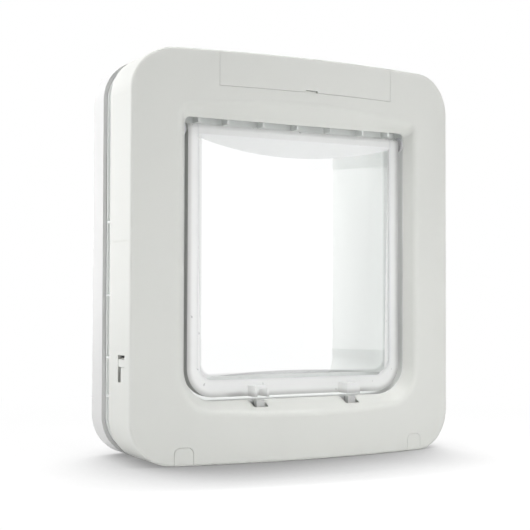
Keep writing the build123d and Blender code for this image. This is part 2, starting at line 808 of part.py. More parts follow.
# Carrier for the two latch motors: a base on the housing's floor, uprights, saddles and latch guides
with BuildPart() as lock_carrier:
    with BuildSketch(Plane.XY.offset(wall)):
        with Locations((latch_offset, front + (carrier_front + motor_front + motor_length) / 2)):
            Rectangle(2 * (latch_place + saddle_half_width), motor_front + motor_length - carrier_front)
    extrude(amount=carrier_wall)
    with BuildSketch(facing(carrier_front + carrier_wall)):
        with Locations(*[(place, (wall + guide_top) / 2) for place in latch_places]):
            Rectangle(2 * saddle_half_width, guide_top - wall)
    extrude(amount=carrier_wall)
    with BuildSketch(facing(motor_front + saddle_length)):
        with Locations(*[(place, (wall + cam_height) / 2) for place in latch_places]):
            Rectangle(2 * saddle_half_width, cam_height - wall)
    extrude(amount=saddle_length + motor_front - carrier_front)
    with BuildSketch(facing(carrier_front)):
        with Locations(*[(place, (guide_bottom + guide_top) / 2) for place in latch_places]):
            Rectangle(latch_width + 2 * (latch_play + guide_wall), guide_top - guide_bottom)
    extrude(amount=carrier_front - latch_front + latch_play + guide_wall)
    with BuildSketch(facing(latch_front + latch_thickness + latch_play)):
        with Locations(*[(place, (guide_bottom + guide_top) / 2) for place in latch_places]):
            Rectangle(latch_width + 2 * latch_play, guide_top - guide_bottom)
    extrude(amount=latch_thickness + 2 * latch_play, mode=Mode.SUBTRACT)
    with BuildSketch(facing(motor_front + motor_length)):
        with Locations(*[(place, cam_height) for place in latch_places]):
            Circle(motor_radius + seam)
    extrude(amount=motor_length, mode=Mode.SUBTRACT)
    with BuildSketch(facing(motor_front)):
        with Locations(*[(place, cam_height) for place in latch_places]):
            Circle(spindle_radius + seam)
    extrude(amount=motor_front - carrier_front, mode=Mode.SUBTRACT)
lock_carrier.part.label = "lock_carrier"
export_step(lock_carrier.part, "parts/lock_carrier.step")

# Latches, cams and motors, one set on each side
for place, side_name in zip(latch_places, ("left", "right")):
    # Motor in its saddle, bored for the cam's spindle
    with BuildPart() as motor:
        with BuildSketch(facing(motor_front + motor_length)):
            with Locations((place, cam_height)):
                Circle(motor_radius)
        extrude(amount=motor_length)
        with BuildSketch(facing(motor_front + motor_bore)):
            with Locations((place, cam_height)):
                Circle(spindle_radius + spindle_play)
        extrude(amount=motor_bore, mode=Mode.SUBTRACT)
    motor.part.label = f"latch_motor_{side_name}"
    export_step(motor.part, f"parts/latch_motor_{side_name}.step")

    # Cam with a steady rise, so that the latch climbs evenly as it turns, on its own spindle
    with BuildPart() as cam:
        with BuildSketch(facing(latch_front + latch_thickness)):
            with BuildLine():
                for first, last, arcs in (
                    (0, rise_end, cam_rise_arcs),
                    (rise_end, fall_end, cam_fall_arcs),
                    (fall_end, 360, 1),
                ):
                    step = (last - first) / arcs
                    for number in range(arcs):
                        begin = first + number * step
                        ThreePointArc(
                            cam_point(place, begin),
                            cam_point(place, begin + step / 2),
                            cam_point(place, begin + step),
                        )
            make_face()
        extrude(amount=latch_thickness)
        with BuildSketch(facing(motor_front + motor_bore - seam)):
            with Locations((place, cam_height)):
                Circle(spindle_radius)
        extrude(amount=motor_front + motor_bore - seam - latch_front)
    cam.part.label = f"latch_cam_{side_name}"
    export_step(cam.part, f"parts/latch_cam_{side_name}.step")

    # Latch: a flat bolt that rises through the sill, with a rounded nose on the cam
    with BuildPart() as latch:
        with BuildSketch(facing(latch_front + latch_thickness)):
            with BuildLine():
                Polyline(
                    (place - nose_radius, nose_level + nose_radius),
                    (place - latch_width / 2, nose_level + nose_radius + nose_taper),
                    (place - latch_width / 2, latch_top),
                    (place + latch_width / 2, latch_top),
                    (place + latch_width / 2, nose_level + nose_radius + nose_taper),
                    (place + nose_radius, nose_level + nose_radius),
                )
                ThreePointArc(
                    (place + nose_radius, nose_level + nose_radius),
                    (place, nose_level),
                    (place - nose_radius, nose_level + nose_radius),
                )
            make_face()
        extrude(amount=latch_thickness)
        chamfer(latch.faces().sort_by(Axis.Z)[-1].edges().filter_by(Axis.X), latch_chamfer)
    latch.part.label = f"latch_{side_name}"
    export_step(latch.part, f"parts/latch_{side_name}.step")

# Screws that pull the rear frame up to the housing and the chassis
with BuildPart() as frame_screws:
    for place, level in screw_places:
        seat = lower_screw_seat if level == lower_screw_height else upper_screw_seat
        with BuildSketch(facing(seat)):
            with Locations((place, level)):
                Circle(screw_head_radius)
        extrude(amount=screw_head_height)
        with BuildSketch(facing(rear_back - wall)):
            with Locations((place, level)):
                Circle(screw_radius)
        extrude(amount=rear_back - wall - seat)
frame_screws.part.label = "frame_screws"
export_step(frame_screws.part, "parts/frame_screws.step")

# Clip-in covers over the lower screws, flush with the face and the bottom edge
for side, side_name in ((-1, "left"), (1, "right")):
    clip_place = side * lower_screw_place
    clip_width = screw_cover_width / 2
    clip_top = screw_cover_height + tongue_depth
    with BuildPart() as screw_cover:
        add(outer_form.part)
        add(screw_cover_prism(side, 0), mode=Mode.INTERSECT)
        add(inner_block, mode=Mode.SUBTRACT)
        clip_root = screw_cover_height - tongue_overlap
        add(bow_slab(clip_place, clip_width, clip_root, screw_cover_height, wall, tongue_back))
        add(bow_slab(clip_place, clip_width, clip_root, clip_top, wall + seam, tongue_back))
    screw_cover.part.label = f"screw_cover_{side_name}"
    export_step(screw_cover.part, f"parts/screw_cover_{side_name}.step")

# Lock slider: a thumb piece in the stepped slot, kept in by a flange behind the wall
with BuildPart() as lock_slider:
    knob_middle = front + (slot_front + slot_back) / 2
    knob_length = slot_back - slot_front - 2 * slider_play
    knob_level = slot_shoulder + slider_play + slider_height / 2
    with BuildSketch(Plane.YZ.offset(-width / 2 + slider_recess)):
        with Locations((knob_middle, knob_level)):
            Rectangle(knob_length, slider_height)
    extrude(amount=wall - slider_recess + slider_gap)
    with BuildSketch(Plane.YZ.offset(-width / 2 + wall + slider_gap)):
        with Locations((knob_middle, knob_level)):
            Rectangle(knob_length + 2 * (slider_lap + slider_play), slider_height + slider_lap)
    extrude(amount=slider_flange)
lock_slider.part.label = "lock_slider"
export_step(lock_slider.part, "parts/lock_slider.step")
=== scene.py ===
import json
import math

import bmesh
import bpy
from mathutils import Matrix, Vector


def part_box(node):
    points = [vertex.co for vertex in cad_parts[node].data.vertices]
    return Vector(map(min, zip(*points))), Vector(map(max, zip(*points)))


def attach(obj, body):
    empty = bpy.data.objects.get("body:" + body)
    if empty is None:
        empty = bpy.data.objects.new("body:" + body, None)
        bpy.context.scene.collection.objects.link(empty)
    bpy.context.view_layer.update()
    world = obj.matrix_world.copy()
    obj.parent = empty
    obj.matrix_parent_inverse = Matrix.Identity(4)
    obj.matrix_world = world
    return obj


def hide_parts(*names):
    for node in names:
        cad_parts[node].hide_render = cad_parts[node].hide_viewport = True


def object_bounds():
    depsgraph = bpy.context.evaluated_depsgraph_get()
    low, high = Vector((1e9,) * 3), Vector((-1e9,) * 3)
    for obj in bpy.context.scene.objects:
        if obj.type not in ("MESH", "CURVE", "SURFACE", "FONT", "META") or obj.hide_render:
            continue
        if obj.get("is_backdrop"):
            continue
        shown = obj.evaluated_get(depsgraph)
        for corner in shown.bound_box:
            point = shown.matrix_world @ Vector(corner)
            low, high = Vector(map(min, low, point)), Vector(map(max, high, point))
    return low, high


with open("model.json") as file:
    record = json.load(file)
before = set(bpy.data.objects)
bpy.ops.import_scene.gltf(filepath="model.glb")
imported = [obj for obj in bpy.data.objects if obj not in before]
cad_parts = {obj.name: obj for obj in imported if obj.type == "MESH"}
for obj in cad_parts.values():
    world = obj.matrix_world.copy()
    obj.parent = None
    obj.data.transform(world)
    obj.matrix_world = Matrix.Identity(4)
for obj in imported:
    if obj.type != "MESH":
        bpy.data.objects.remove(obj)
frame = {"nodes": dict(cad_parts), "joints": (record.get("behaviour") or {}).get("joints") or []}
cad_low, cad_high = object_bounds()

# Chassis and tunnel: one white moulding that plugs into the inside frame and passes through the door.
# Satin polypropylene with a fine spark-eroded grain; it shows in the groove between the frames
# and, behind the flap, as the walls of the tunnel.
chassis_tone = (0.915, 0.935, 0.92, 1)
nodes = frame["nodes"]


def calc(tree, operation, *terms):
    """Math node on sockets or plain numbers; gives its output."""
    node = tree.nodes.new("ShaderNodeMath")
    node.operation = operation
    for socket, term in zip(node.inputs, terms):
        if isinstance(term, (int, float)):
            socket.default_value = term
        else:
            tree.links.new(term, socket)
    return node.outputs[0]


def spread(tree, value, low, high, from_low=0.0, from_high=1.0, curve="LINEAR"):
    """Map Range node from a socket to a new span; gives its output."""
    node = tree.nodes.new("ShaderNodeMapRange")
    node.interpolation_type = curve
    node.inputs["From Min"].default_value = from_low
    node.inputs["From Max"].default_value = from_high
    node.inputs["To Min"].default_value = low
    node.inputs["To Max"].default_value = high
    tree.links.new(value, node.inputs["Value"])
    return node.outputs["Result"]


def object_place(tree):
    """Place of a point in the object's own metres; gives a vector socket."""
    return tree.nodes.new("ShaderNodeTexCoord").outputs["Object"]


def noise(tree, place, scale, detail):
    """Noise texture over a place socket; gives its value."""
    node = tree.nodes.new("ShaderNodeTexNoise")
    node.inputs["Scale"].default_value = scale
    node.inputs["Detail"].default_value = detail
    tree.links.new(place, node.inputs["Vector"])
    return node.outputs["Fac"]


def scale_tone(tree, tone, share):
    """Colour socket times a number socket; gives a colour."""
    node = tree.nodes.new("ShaderNodeVectorMath")
    node.operation = "SCALE"
    tree.links.new(tone, node.inputs[0])
    tree.links.new(share, node.inputs["Scale"])
    return node.outputs[0]


def new_group(name, takes, gives):
    """Node group with named sockets and their kinds; gives the group, what comes in and what goes out."""
    group = bpy.data.node_groups.new(name, "ShaderNodeTree")
    for in_out, sockets in (("INPUT", takes), ("OUTPUT", gives)):
        for socket, kind in sockets.items():
            group.interface.new_socket(socket, in_out=in_out, socket_type="NodeSocket" + kind)
    entry = group.nodes.new("NodeGroupInput").outputs
    leave = group.nodes.new("NodeGroupOutput").inputs
    return group, entry, leave


def place_group(tree, group, values):
    """Puts a node group in a material with its own values; gives its node."""
    node = tree.nodes.new("ShaderNodeGroup")
    node.node_tree = group
    for name, value in values.items():
        node.inputs[name].default_value = value
    return node


def make_moulded_grain():
    """Shared skin of moulded plastic: soft drift of tone, uneven gloss and a fine raised grain."""
    drift_scale = 14
    drift_detail = 3
    drift_range = 0.04
    sheen_scale = 220
    sheen_range = 0.06
    grain_scale = 1500
    fine_detail = 2
    takes = {"Tone": "Color", "Gloss": "Float", "Grain": "Float"}
    gives = {"Color": "Color", "Roughness": "Float", "Height": "Float"}
    group, entry, leave = new_group("moulded_grain", takes, gives)
    place = object_place(group)
    drift = calc(group, "SUBTRACT", noise(group, place, drift_scale, drift_detail), 0.5)
    share = calc(group, "MULTIPLY_ADD", drift, drift_range, 1.0)
    group.links.new(scale_tone(group, entry["Tone"], share), leave["Color"])
    sheen = spread(group, noise(group, place, sheen_scale, fine_detail), -sheen_range, sheen_range)
    group.links.new(calc(group, "ADD", sheen, entry["Gloss"]), leave["Roughness"])
    grain = noise(group, place, grain_scale, fine_detail)
    group.links.new(calc(group, "MULTIPLY", grain, entry["Grain"]), leave["Height"])
    return group


moulded_grain = make_moulded_grain()


def moulded_plastic(name, tone, gloss=0.42, grain=1.0):
    """Moulded plastic in one tone, with the shared skin."""
    grain_strength = 0.25
    grain_depth = 0.00004
    material = bpy.data.materials.new(name)
    material.use_nodes = True
    tree = material.node_tree
    shader = tree.nodes["Principled BSDF"]
    skin = place_group(tree, moulded_grain, {"Tone": tone, "Gloss": gloss, "Grain": grain})
    skin.name = "skin"
    relief = tree.nodes.new("ShaderNodeBump")
    relief.inputs["Strength"].default_value = grain_strength
    relief.inputs["Distance"].default_value = grain_depth
    tree.links.new(skin.outputs["Color"], shader.inputs["Base Color"])
    tree.links.new(skin.outputs["Roughness"], shader.inputs["Roughness"])
    tree.links.new(skin.outputs["Height"], relief.inputs["Height"])
    tree.links.new(relief.outputs["Normal"], shader.inputs["Normal"])
    return material


def finish_nodes(material, *names):
    """Gives CAD nodes a material in place of their plain one."""
    for name in names:
        for slot in nodes[name].material_slots:
            slot.material = material


finish_nodes(moulded_plastic("chassis_white", chassis_tone), "chassis_tunnel")

# Aerial coil: enamelled copper wire wound round the tunnel in a flat bundle of turns.
# The turns lie side by side across its width and show as fine ridges, with painted shade in the valleys
# between them.
turn_pitch = 0.0005
wire_gloss = 0.32
# Painted shade: the valleys between the turns are darker than the copper of the ridges
valley_shade_tone = (0.16, 0.05, 0.02, 1)
ridge_tone = (0.50, 0.19, 0.07, 1)


def axes_of(tree, vector):
    """X, Y and Z sockets of a vector socket, by name."""
    node = tree.nodes.new("ShaderNodeSeparateXYZ")
    tree.links.new(vector, node.inputs[0])
    return node.outputs


def blend_tone(tree, mask, under, over):
    """Mix of two colours, plain or from sockets, by a mask."""
    node = tree.nodes.new("ShaderNodeMix")
    node.data_type = "RGBA"
    colour_a, colour_b, colour_out = node.inputs[6], node.inputs[7], node.outputs[2]
    tree.links.new(mask, node.inputs["Factor"])
    for socket, tone in ((colour_a, under), (colour_b, over)):
        if isinstance(tone, tuple):
            socket.default_value = tone
        else:
            tree.links.new(tone, socket)
    return colour_out


def paint(material, tone):
    """Feeds a colour socket to a material's Base Color."""
    tree = material.node_tree
    tree.links.new(tone, tree.nodes["Principled BSDF"].inputs["Base Color"])


coil_copper = moulded_plastic("coil_copper", ridge_tone, gloss=wire_gloss)
tree = coil_copper.node_tree
back = axes_of(tree, object_place(tree))["Y"]
ridge = calc(tree, "SINE", calc(tree, "MULTIPLY", back, 2 * math.pi / turn_pitch))
tree.links.new(spread(tree, ridge, 0, 1, -1, 1), tree.nodes["Bump"].inputs["Height"])
tree.nodes["Bump"].inputs["Distance"].default_value = turn_pitch / 2
# The copper darkens in each valley between turns, as painted shade
paint(coil_copper, blend_tone(tree, spread(tree, ridge, 0, 1, -1, 0), valley_shade_tone, ridge_tone))
finish_nodes(coil_copper, "antenna_coil")

# Circuit board: glass laminate under green solder mask, with its processor and a small switch.
# Paler lines show the copper tracks under the mask; the cut edges are bare laminate.
board_thickness = 0.0016
board_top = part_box("circuit_board")[0][2] + board_thickness
height_margin = 0.0001
upright_limit = 0.5
mask_gloss = 0.35
mask_tone = (0.012, 0.11, 0.045, 1)
mask_tone_paler = (0.016, 0.13, 0.055, 1)
track_tone = (0.05, 0.24, 0.10, 1)
track_scale = 260
track_width = 0.07
laminate_tone = (0.42, 0.40, 0.22, 1)
chip_tone = (0.025, 0.025, 0.027, 1)
board_green = moulded_plastic("solder_mask", mask_tone, gloss=mask_gloss)
tree = board_green.node_tree
place = object_place(tree)
tracks = tree.nodes.new("ShaderNodeTexBrick")
tracks.inputs["Scale"].default_value = track_scale
tracks.inputs["Mortar Size"].default_value = track_width
tracks.inputs["Color1"].default_value = mask_tone
tracks.inputs["Color2"].default_value = mask_tone_paler
tracks.inputs["Mortar"].default_value = track_tone
tree.links.new(place, tracks.inputs["Vector"])
facing = axes_of(tree, tree.nodes.new("ShaderNodeNewGeometry").outputs["True Normal"])
cut_edge = calc(tree, "LESS_THAN", calc(tree, "ABSOLUTE", facing["Z"]), upright_limit)
raised = calc(tree, "GREATER_THAN", axes_of(tree, place)["Z"], board_top + height_margin)
board_tone = blend_tone(tree, cut_edge, tracks.outputs["Color"], laminate_tone)
paint(board_green, blend_tone(tree, raised, board_tone, chip_tone))
finish_nodes(board_green, "circuit_board")

# Button under the battery cover: a red cap on a stem that works the switch on the board.
# Gloss acrylic styrene, pushed through the tray from above.
button_tone = (0.45, 0.02, 0.015, 1)
button_gloss = 0.35
finish_nodes(moulded_plastic("button_red", button_tone, gloss=button_gloss), "learn_button")

# Cells and contacts: four round cells in two rows, and plated steel contacts at the rows' ends.
# Each cell has a two-tone film sleeve shrunk over a steel can, with both ends bare.
sleeve_end = 0.0015
nub_share = 0.955
band_low = 0.66
band_high = 0.665
sleeve_gloss = 0.3
sleeve_grain = 0.2
sleeve_dark = (0.028, 0.030, 0.034, 1)
sleeve_pale = (0.34, 0.36, 0.38, 1)
steel_tone = (0.62, 0.61, 0.59, 1)
nickel_tone = (0.66, 0.64, 0.60, 1)
nickel_gloss = 0.28
nickel_lines = (300, 2500, 300)


def make_drawn_lines():
    """Shared surface of drawn and rolled metal: fine lines along the part, in tone, gloss and relief."""
    line_detail = 3
    tone_low = 0.86
    tone_high = 1.08
    gloss_range = 0.1
    takes = {"Place": "Vector", "Tone": "Color", "Gloss": "Float"}
    gives = {"Color": "Color", "Roughness": "Float", "Height": "Float"}
    group, entry, leave = new_group("drawn_lines", takes, gives)
    lines = noise(group, entry["Place"], 1, line_detail)
    share = spread(group, lines, tone_low, tone_high)
    group.links.new(scale_tone(group, entry["Tone"], share), leave["Color"])
    sheen = spread(group, lines, -gloss_range, gloss_range)
    group.links.new(calc(group, "ADD", sheen, entry["Gloss"]), leave["Roughness"])
    group.links.new(lines, leave["Height"])
    return group


drawn_lines = make_drawn_lines()


def drawn_metal(name, tone, gloss, stretch):
    """Bare metal with fine lines; stretch says how closely they lie along each axis."""
    line_strength = 0.15
    line_depth = 0.00002
    material = bpy.data.materials.new(name)
    material.use_nodes = True
    tree = material.node_tree
    shader = tree.nodes["Principled BSDF"]
    shader.inputs["Metallic"].default_value = 1
    scaled = tree.nodes.new("ShaderNodeMapping")
    scaled.inputs["Scale"].default_value = stretch
    tree.links.new(object_place(tree), scaled.inputs["Vector"])
    lines = place_group(tree, drawn_lines, {"Tone": tone, "Gloss": gloss})
    tree.links.new(scaled.outputs[0], lines.inputs["Place"])
    relief = tree.nodes.new("ShaderNodeBump")
    relief.inputs["Strength"].default_value = line_strength
    relief.inputs["Distance"].default_value = line_depth
    tree.links.new(lines.outputs["Color"], shader.inputs["Base Color"])
    tree.links.new(lines.outputs["Roughness"], shader.inputs["Roughness"])
    tree.links.new(lines.outputs["Height"], relief.inputs["Height"])
    tree.links.new(relief.outputs["Normal"], shader.inputs["Normal"])
    return material


def make_cell_sleeve():
    """Shared sleeve of the cells: dark with a pale band towards the raised end, and bare at both ends."""
    takes = {"Flat End": "Float", "Raised End": "Float"}
    gives = {"Color": "Color", "Bare": "Float"}
    group, entry, leave = new_group("cell_sleeve", takes, gives)
    across = axes_of(group, object_place(group))["X"]
    from_flat = calc(group, "SUBTRACT", across, entry["Flat End"])
    length = calc(group, "SUBTRACT", entry["Raised End"], entry["Flat End"])
    along = calc(group, "DIVIDE", from_flat, length)
    pale = spread(group, along, 0, 1, band_low, band_high)
    flat_bare = calc(group, "LESS_THAN", calc(group, "ABSOLUTE", from_flat), sleeve_end)
    raised_bare = calc(group, "GREATER_THAN", along, nub_share)
    bare = calc(group, "MAXIMUM", flat_bare, raised_bare)
    film = blend_tone(group, pale, sleeve_dark, sleeve_pale)
    group.links.new(blend_tone(group, bare, film, steel_tone), leave["Color"])
    group.links.new(bare, leave["Bare"])
    return group


cell_sleeve = make_cell_sleeve()


def cell_skin(name, flat_end, raised_end):
    """Film and bare steel of one cell, from the places of its two ends."""
    material = moulded_plastic(name, sleeve_dark, gloss=sleeve_gloss, grain=sleeve_grain)
    tree = material.node_tree
    sleeve = place_group(tree, cell_sleeve, {"Flat End": flat_end, "Raised End": raised_end})
    paint(material, sleeve.outputs["Color"])
    tree.links.new(sleeve.outputs["Bare"], tree.nodes["Principled BSDF"].inputs["Metallic"])
    return material


for side in ("left", "right"):
    front_cell = f"battery_cell_front_{side}"
    low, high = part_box(front_cell)
    finish_nodes(cell_skin(front_cell + "_skin", low[0], high[0]), front_cell)
    back_cell = f"battery_cell_back_{side}"
    low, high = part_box(back_cell)
    finish_nodes(cell_skin(back_cell + "_skin", high[0], low[0]), back_cell)
nickel = drawn_metal("contact_nickel", nickel_tone, nickel_gloss, nickel_lines)
finish_nodes(nickel, "battery_contacts_left", "battery_contacts_right")

# Lock works below the sill: a dark carrier with two motors, their cams and the two latches.
# The latches and cams are grey acetal, the carrier glass-filled nylon, the motor cans drawn steel.
# The magnets that hold the flap shut lie under the sill beside the latches, nickel plated.
carrier_tone = (0.04, 0.04, 0.042, 1)
latch_tone = (0.68, 0.685, 0.675, 1)
latch_gloss = 0.35
motor_tone = (0.55, 0.55, 0.56, 1)
motor_gloss = 0.32
motor_lines = (2000, 150, 2000)
magnet_tone = (0.74, 0.73, 0.71, 1)
magnet_gloss = 0.3
magnet_lines = (600, 600, 600)
finish_nodes(moulded_plastic("carrier_grey", carrier_tone), "lock_carrier")
latch_grey = moulded_plastic("latch_grey", latch_tone, gloss=latch_gloss)
finish_nodes(latch_grey, "latch_left", "latch_right", "latch_cam_left", "latch_cam_right")
motor_steel = drawn_metal("motor_steel", motor_tone, motor_gloss, motor_lines)
finish_nodes(motor_steel, "latch_motor_left", "latch_motor_right")
magnet_plate = drawn_metal("magnet_plate", magnet_tone, magnet_gloss, magnet_lines)
finish_nodes(magnet_plate, "sill_magnets")

# Front housing, screw covers and lock slider: the inside frame, in a warmer white than the chassis.
# A thin bowed shell; the covers clip in over the lower screws and the slider runs in the left wall.
housing_tone = (0.775, 0.785, 0.750, 1)
housing_white = moulded_plastic("housing_white", housing_tone)
finish_nodes(housing_white, "front_housing", "screw_cover_left", "screw_cover_right", "lock_slider")

# Step in the finger notch: a small lip on the housing's edge that closes the notch in the battery cover.
# Moulded with the housing, set back from the face by a fingernail's depth, with its free edges rounded.
notch_half = 0.00475
notch_top = 0.26275
notch_play = 0.00025
housing_edge = 0.2609
skin_thickness = 0.0025
step_depth = 0.0014
step_round = 0.0003
round_segments = 3
round_profile = 0.5
step_low = (notch_play - notch_half, cad_low[1] + step_depth, housing_edge)
step_high = (notch_half - notch_play, cad_low[1] + skin_thickness, notch_top - notch_play)
step_form = bmesh.new()
bmesh.ops.create_cube(step_form, size=2)
for corner in step_form.verts:
    spans = zip(step_low, step_high, corner.co)
    corner.co = [(low + high + side * (high - low)) / 2 for low, high, side in spans]
foot_limit = housing_edge + step_round
free_edges = [edge for edge in step_form.edges if max(end.co.z for end in edge.verts) > foot_limit]
bmesh.ops.bevel(
    step_form,
    geom=free_edges,
    offset=step_round,
    segments=round_segments,
    profile=round_profile,
    affect="EDGES",
)
step_mesh = bpy.data.meshes.new("notch_step")
step_form.to_mesh(step_mesh)
step_form.free()
step_mesh.materials.append(housing_white)
notch_step = bpy.data.objects.new("notch_step", step_mesh)
bpy.context.scene.collection.objects.link(notch_step)
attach(notch_step, "frame")

# Hinge bushes: pale flanged bushes that the flap's pins turn in.
# Grey acetal, pushed into the tunnel's walls from inside the passage.
bush_tone = (0.66, 0.66, 0.68, 1)
finish_nodes(moulded_plastic("bush_grey", bush_tone), "hinge_bush_left", "hinge_bush_right")

# Flap: one clear polycarbonate moulding with a thick rim, a dished pane and the hinge barrel.
# The pane is polished; the rim, barrel and sloping head have a milky skin from the mould, and its outer
# edge is painted a dark matt grey as the shade in the gap round it. Its foot has two keepers, and two
# magnets bonded in beside them.
flap_half = 0.0877
flap_foot = 0.045
flap_corner = 0.020
pane_half = 0.0796
pane_foot = 0.057
pane_corner = 0.012
flap_joint = next(joint for joint in frame["joints"] if joint["name"] == "flap_swing")
hinge_depth, hinge_height = flap_joint["pos_m"][1:]
barrel_radius = 0.0045
# Width of the band of painted groove shade inside the pane's outline
groove_shade_band = 0.0050
# Widths of the painted shade at the rim's outer edge and along the pane
edge_shade_band = 0.0045
step_shade_band = 0.0022
sort_margin = 0.0003
facing_limit = 0.5
refraction = 1.5
haze_gloss = 0.04
clear_tone = (0.99, 1, 0.998, 1)
haze_tone = (1, 1, 1, 1)
# Painted groove shade on the clear pane
groove_shade_tone = (0.54, 0.545, 0.545, 1)
rim_base = (0.915, 0.92, 0.915, 1)
rim_clearness = 0.25
rim_gloss = 0.3
# Painted shade of the fine line along the pane
step_shade_tone = (0.82, 0.83, 0.83, 1)
# Painted shade at the rim's outer edge
edge_shade_tone = (0.52, 0.52, 0.51, 1)
head_tone = (0.985, 0.995, 0.995, 1)
head_clearness = 0.2
head_gloss = 0.4
# Painted gap shade: the flap's outer edge faces are an opaque dark grey
gap_shade_tone = (0.44, 0.44, 0.425, 1)
gap_shade_gloss = 0.5


def make_foot_outline():
    """Shared distance outside an outline with straight sides and a rounded foot, open at the top."""
    takes = {"Half": "Float", "Foot": "Float", "Corner": "Float"}
    group, entry, leave = new_group("foot_outline", takes, {"Distance": "Float"})
    axes = axes_of(group, object_place(group))
    straight_half = calc(group, "SUBTRACT", entry["Half"], entry["Corner"])
    straight_foot = calc(group, "ADD", entry["Foot"], entry["Corner"])
    side = calc(group, "SUBTRACT", calc(group, "ABSOLUTE", axes["X"]), straight_half)
    below = calc(group, "SUBTRACT", straight_foot, axes["Z"])
    inside = calc(group, "MINIMUM", calc(group, "MAXIMUM", side, below), 0.0)
    side_out = calc(group, "MAXIMUM", side, 0.0)
    below_out = calc(group, "MAXIMUM", below, 0.0)
    below_square = calc(group, "MULTIPLY", below_out, below_out)
    squares = calc(group, "MULTIPLY_ADD", side_out, side_out, below_square)
    rounded = calc(group, "ADD", calc(group, "SQRT", squares), inside)
    group.links.new(calc(group, "SUBTRACT", rounded, entry["Corner"]), leave["Distance"])
    return group


foot_outline = make_foot_outline()


def foot_distance(tree, half, foot, corner):
    """Distance outside an outline of these sizes; gives its output."""
    sizes = {"Half": half, "Foot": foot, "Corner": corner}
    return place_group(tree, foot_outline, sizes).outputs["Distance"]


def point_distance(point, half, foot, corner):
    """The same distance for one point of a mesh."""
    side = abs(point.x) - half + corner
    below = foot + corner - point.z
    return math.hypot(max(side, 0), max(below, 0)) + min(max(side, below), 0) - corner


def shader_mix(tree, mask, first, second):
    """Mix Shader node by a mask; gives its output."""
    node = tree.nodes.new("ShaderNodeMixShader")
    tree.links.new(mask, node.inputs[0])
    tree.links.new(first, node.inputs[1])
    tree.links.new(second, node.inputs[2])
    return node.outputs[0]


def let_light_through(material):
    """Lets the lamps shine through, so that the tunnel behind is lit."""
    tree = material.node_tree
    through = tree.nodes.new("ShaderNodeBsdfTransparent")
    through.inputs["Color"].default_value = (1, 1, 1, 1)
    shadow = tree.nodes.new("ShaderNodeLightPath").outputs["Is Shadow Ray"]
    mixed = shader_mix(tree, shadow, tree.nodes["Principled BSDF"].outputs[0], through.outputs[0])
    tree.links.new(mixed, tree.nodes["Material Output"].inputs["Surface"])


def milky_plastic(name, tone, clearness, gloss):
    """Clear plastic with a smooth milky mould skin: part of the light passes, part is spread."""
    material = moulded_plastic(name, tone, gloss=gloss)
    tree = material.node_tree
    tree.nodes.remove(tree.nodes["Bump"])
    shader = tree.nodes["Principled BSDF"]
    shader.inputs["IOR"].default_value = refraction
    shader.inputs["Transmission Weight"].default_value = clearness
    let_light_through(material)
    return material


def make_clear_haze():
    """Shared faint haze of polished clear plastic, in tone and gloss."""
    haze_scale = 60
    haze_detail = 2
    takes = {"Tone": "Color", "Hazy Tone": "Color", "Hazy Gloss": "Float"}
    gives = {"Color": "Color", "Roughness": "Float"}
    group, entry, leave = new_group("clear_haze", takes, gives)
    haze = noise(group, object_place(group), haze_scale, haze_detail)
    group.links.new(blend_tone(group, haze, entry["Tone"], entry["Hazy Tone"]), leave["Color"])
    group.links.new(calc(group, "MULTIPLY", haze, entry["Hazy Gloss"]), leave["Roughness"])
    return group


clear_haze = make_clear_haze()


def clear_plastic(name, groove_shaded):
    """Polished clear plastic, with or without a band of painted groove shade inside the pane's outline."""
    material = bpy.data.materials.new(name)
    material.use_nodes = True
    tree = material.node_tree
    shader = tree.nodes["Principled BSDF"]
    shader.inputs["IOR"].default_value = refraction
    shader.inputs["Transmission Weight"].default_value = 1
    tones = {"Tone": clear_tone, "Hazy Tone": haze_tone, "Hazy Gloss": haze_gloss}
    haze = place_group(tree, clear_haze, tones)
    tone = haze.outputs["Color"]
    if groove_shaded:
        # A grey band of painted shade stands for the groove inside the pane's outline
        gap = foot_distance(tree, pane_half, pane_foot, pane_corner)
        groove_shade = spread(tree, gap, 0, 1, -groove_shade_band, -groove_shade_band / 2, "SMOOTHSTEP")
        tone = blend_tone(tree, groove_shade, tone, groove_shade_tone)
    paint(material, tone)
    tree.links.new(haze.outputs["Roughness"], shader.inputs["Roughness"])
    let_light_through(material)
    return material


# Its rim has painted shade towards the outer edge, and a fine line of painted shade along the pane
rim_milky = milky_plastic("rim_milky", rim_base, rim_clearness, rim_gloss)
tree = rim_milky.node_tree
edge_gap = foot_distance(tree, flap_half, flap_foot, flap_corner)
edge_shade_mask = spread(tree, edge_gap, 0, 1, -edge_shade_band, 0.0, "SMOOTHSTEP")
pane_gap = foot_distance(tree, pane_half, pane_foot, pane_corner)
step_shade_fade = spread(tree, pane_gap, 1, 0, 0.0, step_shade_band, "SMOOTHSTEP")
step_shade_mask = calc(tree, "MULTIPLY", step_shade_fade, calc(tree, "GREATER_THAN", pane_gap, -sort_margin))
rim_skin = tree.nodes["skin"].outputs["Color"]
# Painted shade darkens the rim towards its outer edge
rim_shaded_tone = blend_tone(tree, edge_shade_mask, rim_skin, edge_shade_tone)
# Painted shade also darkens a fine line along the pane's outline
paint(rim_milky, blend_tone(tree, step_shade_mask, rim_shaded_tone, step_shade_tone))

